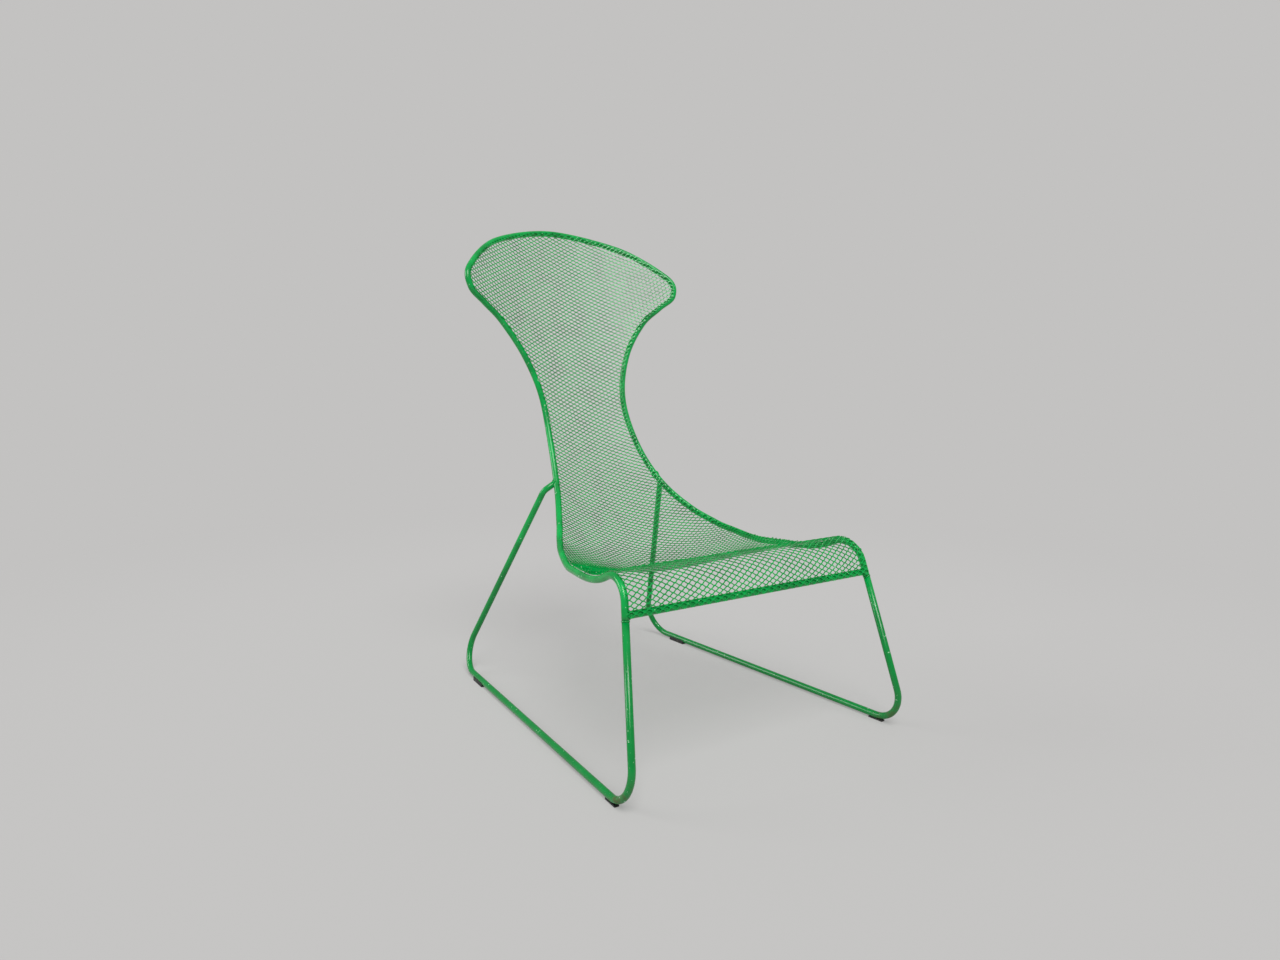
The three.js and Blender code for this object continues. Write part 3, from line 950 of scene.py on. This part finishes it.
class ExpandedSheet:
    """Expanded metal laid on the tubes: bonds joined by slanting strands, cut along the outline."""

    def __init__(self, sizes):
        self.pitch_x = sizes.diamond_length
        self.pitch_t = sizes.diamond_height
        self.half_bond = (sizes.diamond_length - sizes.opening_length) / 2
        self.half_flat = sizes.opening_flat / 2
        self.half_web = (sizes.diamond_height - sizes.opening_height) / 2
        self.lift = sizes.strand_lift
        self.thickness = sizes.strand_thickness
        self.rest = sizes.tube_diameter / 2 + SHEET_REST
        self.foot = -RAIL_COVER_SHARE * sizes.tube_diameter / 2
        stations = np.linspace(0, CROWN_STATION, OUTLINE_STEPS)
        self.edge = outline_at(stations)
        self.corners = []
        self.faces = []

    def spread(self, u, t):
        """The x of a place a length u across the dished sheet from its middle."""
        curve = np.maximum(dish_at(t), FLATTEST_CURVE)
        x = np.array(u, float)
        for _ in range(SPREAD_ROUNDS):
            slope = np.sqrt(1 + (curve * x) ** 2)
            length = (x * slope + np.arcsinh(curve * x) / curve) / 2
            x = x - (length - u) / slope
        return x

    def inside(self, u, t):
        """How far a place is inside the outline, along its row or above the foot."""
        x = self.spread(u, t)
        half_width = np.interp(t, self.edge[:, 1], self.edge[:, 0])
        return np.minimum(half_width - np.abs(x), np.minimum(t - self.foot, SHEET_LENGTH - t))

    def corner(self, u, t, lift):
        """The number of a new corner at that place of the unrolled sheet."""
        self.corners.append((u, t, lift))
        return len(self.corners) - 1

    def build(self):
        """Vertices and faces of the sheet's closed skin."""
        half_pitch = self.pitch_t / 2
        rows = range(math.floor(self.foot / half_pitch), math.ceil(SHEET_LENGTH / half_pitch))
        reach = math.ceil(APRON_HALF_WIDTH * SHEET_REACH_SHARE / self.pitch_x)
        bonds = {}
        for row in rows:
            t = row * half_pitch
            for column in range(-reach, reach + 1):
                u = (column + (row % 2) / 2) * self.pitch_x
                if self.inside(u, t) > 0:
                    bonds[row, 2 * column + row % 2] = (u, t)
        bonds = largest_group(bonds)
        hexagons = {}
        for key, (u, t) in bonds.items():
            hexagons[key] = {
                "left": self.corner(u - self.half_bond, t, 0),
                "right": self.corner(u + self.half_bond, t, 0),
                "low_left": self.corner(u - self.half_flat, t - self.half_web, self.lift),
                "low_right": self.corner(u + self.half_flat, t - self.half_web, self.lift),
                "high_left": self.corner(u - self.half_flat, t + self.half_web, -self.lift),
                "high_right": self.corner(u + self.half_flat, t + self.half_web, -self.lift),
            }
        for (row, column), ring in hexagons.items():
            self.faces.append((ring["left"], ring["low_left"], ring["low_right"], ring["right"]))
            self.faces.append((ring["left"], ring["right"], ring["high_right"], ring["high_left"]))
            for rise in (1, -1):
                for way in (1, -1):
                    other = hexagons.get((row + rise, column + way))
                    self.add_strand(ring, other, bonds[row, column], rise, way)
        return self.skin()

    def add_strand(self, ring, other, centre, rise, way):
        """The strand from one bond towards the next one up or down and to one side."""
        near_side = ring["right" if way > 0 else "left"]
        level = "high" if rise > 0 else "low"
        near_flat = ring[f"{level}_{'right' if way > 0 else 'left'}"]
        if other:
            if rise < 0:
                return
            far_side = other["left" if way > 0 else "right"]
            far_flat = other[f"low_{'left' if way > 0 else 'right'}"]
        else:
            u, t = centre
            far_u = u + way * self.pitch_x / 2
            far_t = t + rise * self.pitch_t / 2
            far_side = self.cut(near_flat, (far_u - way * self.half_bond, far_t, 0))
            flat_t = far_t - rise * self.half_web
            flat_place = (far_u - way * self.half_flat, flat_t, rise * self.lift)
            far_flat = self.cut(near_side, flat_place)
        face = (near_side, far_flat, far_side, near_flat)
        if way * rise < 0:
            face = tuple(reversed(face))
        self.faces.append(face)

    def cut(self, near, far):
        """The corner where an edge from the corner near to the place far meets the outline."""
        start = np.array(self.corners[near])
        end = np.array(far)
        shares = np.linspace(0, 1, CUT_SEARCH_STEPS)
        within = [self.inside(*(start + (end - start) * share)[:2]) > 0 for share in shares]
        kept = within.index(False) - 1 if False in within else len(within) - 1
        share = max(shares[max(kept, 0)], SHORTEST_STUB_SHARE)
        return self.corner(*(start + (end - start) * share))

    def skin(self):
        """Both faces of every bond and strand, and a wall at each opening's edge and the rim."""
        corners = np.array(self.corners)
        x = self.spread(corners[:, 0], corners[:, 1])
        t = corners[:, 1]
        ground = centre_surface(x, t)
        normal = surface_normal(x, t)
        middle = (self.rest + corners[:, 2])[:, None]
        top = ground + normal * (middle + self.thickness / 2)
        bottom = ground + normal * (middle - self.thickness / 2)
        count = len(corners)
        edges = {}
        faces = []
        for face in self.faces:
            faces.append(face)
            faces.append(tuple(count + i for i in reversed(face)))
            for i, start in enumerate(face):
                edges[start, face[(i + 1) % len(face)]] = True
        for start, end in edges:
            if (end, start) not in edges:
                faces.append((start, count + start, count + end, end))
        return np.concatenate([top, bottom]), faces


def largest_group(bonds):
    """The bonds that hang together in the largest group, so that no loose piece is left."""
    left = set(bonds)
    best = set()
    while left:
        group = {left.pop()}
        front = set(group)
        while front:
            near = {
                (row + rise, column + way)
                for row, column in front
                for rise in (1, -1)
                for way in (1, -1)
            }
            front = near & left
            left -= front
            group |= front
        if len(group) > len(best):
            best = group
    return {key: place for key, place in bonds.items() if key in best}


class CHAIR_OT_mesh_sheet(bpy.types.Operator):
    """Form the expanded metal sheet on the sitter's side of the tubes"""

    bl_idname = "chair.mesh_sheet"
    bl_label = "Expanded Metal Sheet"

    def execute(self, context):
        vertices, faces = ExpandedSheet(context.scene.chair.sizes).build()
        add_piece(
            "expanded_sheet",
            vertices,
            faces,
            gloss_enamel(),
            ["mesh_panel"],
            smooth=False,
        )
        return {"FINISHED"}


def shoe_section(height, half_width, runner_height, inner):
    """Outline of a shoe across its runner, from the floor up round the tube."""
    lip = math.acos((runner_height - height) / inner)
    angles = np.linspace(lip, -lip, SHOE_ARC_STEPS + 1)
    cup = [(inner * math.sin(a), runner_height - inner * math.cos(a)) for a in angles]
    return [(-half_width, 0), (half_width, 0), (half_width, height), *cup, (-half_width, height)]


SHOE_ROUNDING = 0.38 * MM
SHOE_SHARP_ANGLE = math.radians(30)


def add_shoe(name, length, height, half_width, front, along):
    """A rubber shoe with rounded edges, its front end at the given place under the runner."""
    radius = bpy.context.scene.chair.sizes.tube_diameter / 2
    runner_height = SHOE_FLOOR + SHOE_GAP + radius
    section = shoe_section(height, half_width, runner_height, radius + SHOE_GAP / 2)
    across = np.cross((0, 0, 1), along)
    skin = bmesh.new()
    ring = [
        skin.verts.new(Vector((*front[:2], 0)) + Vector(across) * x + Vector((0, 0, z)))
        for x, z in section
    ]
    foot = skin.faces.new(ring)
    sweep = bmesh.ops.extrude_face_region(skin, geom=[foot])
    moved = [item for item in sweep["geom"] if isinstance(item, bmesh.types.BMVert)]
    bmesh.ops.translate(skin, vec=Vector(along) * length, verts=moved)
    bmesh.ops.recalc_face_normals(skin, faces=skin.faces)
    sharp = [edge for edge in skin.edges if edge.calc_face_angle(0) > SHOE_SHARP_ANGLE]
    bmesh.ops.bevel(
        skin, geom=sharp, offset=SHOE_ROUNDING, segments=2, profile=0.5, affect="EDGES"
    )
    skin.verts.index_update()
    vertices = [vertex.co.copy() for vertex in skin.verts]
    faces = [tuple(vertex.index for vertex in face.verts) for face in skin.faces]
    skin.free()
    add_piece(f"{name}_rubber", vertices, faces, moulded_rubber(), [name])


class CHAIR_OT_shoes(bpy.types.Operator):
    """Fit the four rubber shoes under the runners"""

    bl_idname = "chair.shoes"
    bl_label = "Rubber Shoes"

    def execute(self, context):
        radius = context.scene.chair.sizes.tube_diameter / 2
        front, rear, top, _ = leg_corners()
        front_end = bend_points(along_joint(0), front, rear, FRONT_BEND_RADIUS)[-1]
        rear_start = bend_points(front, rear, top, REAR_BEND_RADIUS)[0]
        along = unit(rear - front)
        front_place = front_end - along * FRONT_SHOE_NOSE
        rear_place = rear_start - along * (REAR_SHOE_LENGTH + REAR_SHOE_SETBACK)
        wide = radius + SHOE_GAP + SHOE_WALL
        front_sizes = (FRONT_SHOE_LENGTH, FRONT_SHOE_HEIGHT, FRONT_SHOE_HALF_WIDTH)
        rear_sizes = (REAR_SHOE_LENGTH, REAR_SHOE_HEIGHT, wide)
        for name, side in SIDES.items():
            way = mirrored(along, side)
            add_shoe(f"{name}_front_glide", *front_sizes, mirrored(front_place, side), way)
            add_shoe(f"{name}_rear_glide", *rear_sizes, mirrored(rear_place, side), way)
        return {"FINISHED"}


class CHAIR_OT_sleeves(bpy.types.Operator):
    """Finish the steel sleeves hidden inside the front joints"""

    bl_idname = "chair.sleeves"
    bl_label = "Joint Sleeves"

    def execute(self, context):
        for name in SIDES:
            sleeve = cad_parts[f"{name}_joint_sleeve"]
            for material_slot in sleeve.material_slots:
                material_slot.material = drawn_steel()
        return {"FINISHED"}


# Stage


# The chair's shadow stays on the floor this far out, and is gone at this share of its radius
SHADOW_REACH = 0.9
SHADOW_END_SHARE = 0.25


def studio_floor(colours, radius, fill):
    """Matt paper floor: it keeps the chair's shadow and runs into the wall's colour far off."""
    material = empty_material("studio_paper")
    tree = material.node_tree
    place = add_node(tree, "ShaderNodeTexCoord").outputs["Object"]
    away = add_node(tree, "ShaderNodeVectorMath", {0: place}, operation="LENGTH").outputs["Value"]
    end = radius * SHADOW_END_SHARE
    far = add_node(
        tree,
        "ShaderNodeMapRange",
        {"Value": away, "From Min": SHADOW_REACH, "From Max": end, "To Min": fill},
        interpolation_type="SMOOTHSTEP",
    ).outputs["Result"]
    camera = add_node(tree, "ShaderNodeLightPath").outputs["Is Camera Ray"]
    share = add_node(
        tree, "ShaderNodeMath", {0: far, 1: camera}, operation="MULTIPLY"
    ).outputs["Value"]
    paper = add_node(
        tree, "ShaderNodeBsdfDiffuse", {"Color": linear_from_hex(colours.floor)}
    ).outputs["BSDF"]
    glow = add_node(
        tree, "ShaderNodeEmission", {"Color": linear_from_hex(colours.floor)}
    ).outputs["Emission"]
    mixed = add_node(
        tree, "ShaderNodeMixShader", {0: share, 1: paper, 2: glow}
    ).outputs["Shader"]
    add_node(tree, "ShaderNodeOutputMaterial", {"Surface": mixed})
    return material


def set_world(colours, strength):
    """A pale room: plain light from all round, and the wall's colour where the camera sees it."""
    world = bpy.data.worlds.new("studio_room")
    world.use_nodes = True
    tree = world.node_tree
    tree.nodes.clear()
    camera = add_node(tree, "ShaderNodeLightPath").outputs["Is Camera Ray"]
    room = add_node(
        tree, "ShaderNodeBackground", {"Color": (1, 1, 1, 1), "Strength": strength}
    ).outputs["Background"]
    wall = add_node(
        tree, "ShaderNodeBackground", {"Color": linear_from_hex(colours.floor)}
    ).outputs["Background"]
    mixed = add_node(
        tree, "ShaderNodeMixShader", {0: camera, 1: room, 2: wall}
    ).outputs["Shader"]
    add_node(tree, "ShaderNodeOutputWorld", {"Surface": mixed})
    bpy.context.scene.world = world


def add_soft_light(name, origin, spread, strength):
    """A wide, even light that comes from the direction of origin."""
    lamp = bpy.data.lights.new(name, "SUN")
    lamp.angle = spread
    lamp.energy = strength
    light = bpy.data.objects.new(name, lamp)
    light.location = origin
    light.rotation_euler = Vector(origin).to_track_quat("Z", "Y").to_euler()
    bpy.context.scene.collection.objects.link(light)


def camera_matrix(settings):
    """Place and turn of the camera."""
    yaw, pitch, roll = settings.camera_yaw, settings.camera_pitch, settings.camera_roll
    ahead = Vector(
        (math.sin(yaw) * math.cos(pitch), math.cos(yaw) * math.cos(pitch), -math.sin(pitch))
    )
    right = Vector((math.cos(yaw), -math.sin(yaw), 0))
    up = right.cross(ahead)
    rolled_right = right * math.cos(roll) + up * math.sin(roll)
    rolled_up = up * math.cos(roll) - right * math.sin(roll)
    turn = Matrix((rolled_right, rolled_up, -ahead)).transposed().to_4x4()
    return Matrix.Translation(settings.camera_place) @ turn


# Sensor width in millimetres, and where each light comes from and how wide it is
SENSOR_WIDTH = 36
KEY_ORIGIN = (-1.6, -2.4, 2.6)
KEY_SPREAD = math.radians(16)
SIDE_ORIGIN = (-2.8, 2.2, 1.6)
SIDE_SPREAD = math.radians(30)
OVERHEAD_ORIGIN = (-0.5, -1.5, 3.0)
OVERHEAD_SPREAD = math.radians(32)


class CHAIR_OT_stage(bpy.types.Operator):
    """Set up the floor, the room, the lights and the camera"""

    bl_idname = "chair.stage"
    bl_label = "Stage"

    def execute(self, context):
        settings = context.scene.chair.stage
        colours = context.scene.chair.colours
        context.scene.view_settings.view_transform = "Standard"
        skin = bmesh.new()
        bmesh.ops.create_circle(
            skin, cap_ends=True, segments=FLOOR_SIDES, radius=settings.floor_radius
        )
        mesh = bpy.data.meshes.new("studio_floor")
        skin.to_mesh(mesh)
        skin.free()
        mesh.materials.append(studio_floor(colours, settings.floor_radius, settings.shadow_fill))
        floor = bpy.data.objects.new("studio_floor", mesh)
        context.scene.collection.objects.link(floor)
        set_world(colours, settings.world_strength)
        add_soft_light("key_light", KEY_ORIGIN, KEY_SPREAD, settings.key_strength)
        add_soft_light("side_light", SIDE_ORIGIN, SIDE_SPREAD, settings.side_strength)
        add_soft_light(
            "overhead_light", OVERHEAD_ORIGIN, OVERHEAD_SPREAD, settings.overhead_strength
        )
        data = bpy.data.cameras.new("camera")
        data.sensor_width = SENSOR_WIDTH
        data.lens = settings.lens
        camera = bpy.data.objects.new("camera", data)
        camera.matrix_world = camera_matrix(settings)
        context.scene.collection.objects.link(camera)
        context.scene.camera = camera
        return {"FINISHED"}


# Panel


PIECE_OPERATORS = (
    CHAIR_OT_shell_tube,
    CHAIR_OT_legs,
    CHAIR_OT_welds,
    CHAIR_OT_mesh_sheet,
    CHAIR_OT_shoes,
    CHAIR_OT_sleeves,
    CHAIR_OT_stage,
)


class CHAIR_PT_pieces(bpy.types.Panel):
    """Lists the chair's pieces in the order in which they are made"""

    bl_idname = "CHAIR_PT_pieces"
    bl_label = "Garden Easy Chair"
    bl_space_type = "VIEW_3D"
    bl_region_type = "UI"
    bl_category = "Chair"

    def draw(self, context):
        settings = context.scene.chair
        for group in (settings.sizes, settings.colours, settings.stage):
            box = self.layout.box()
            for name in group.bl_rna.properties.keys():
                if name not in ("rna_type", "name"):
                    box.prop(group, name)
        for operator in PIECE_OPERATORS:
            self.layout.operator(operator.bl_idname)


CLASSES = (
    ChairSizes,
    ChairColours,
    StageSettings,
    ChairSettings,
    *PIECE_OPERATORS,
    CHAIR_PT_pieces,
)


def register():
    for item in CLASSES:
        bpy.utils.register_class(item)
    bpy.types.Scene.chair = bpy.props.PointerProperty(
        type=ChairSettings, name="Chair", description="Settings of the garden easy chair"
    )


def unregister():
    del bpy.types.Scene.chair
    for item in reversed(CLASSES):
        bpy.utils.unregister_class(item)


def main():
    register()
    bpy.ops.chair.stage()
    bpy.ops.chair.shell_tube()
    bpy.ops.chair.legs()
    bpy.ops.chair.welds()
    bpy.ops.chair.mesh_sheet()
    bpy.ops.chair.shoes()
    bpy.ops.chair.sleeves()


if __name__ == "__main__":
    main()
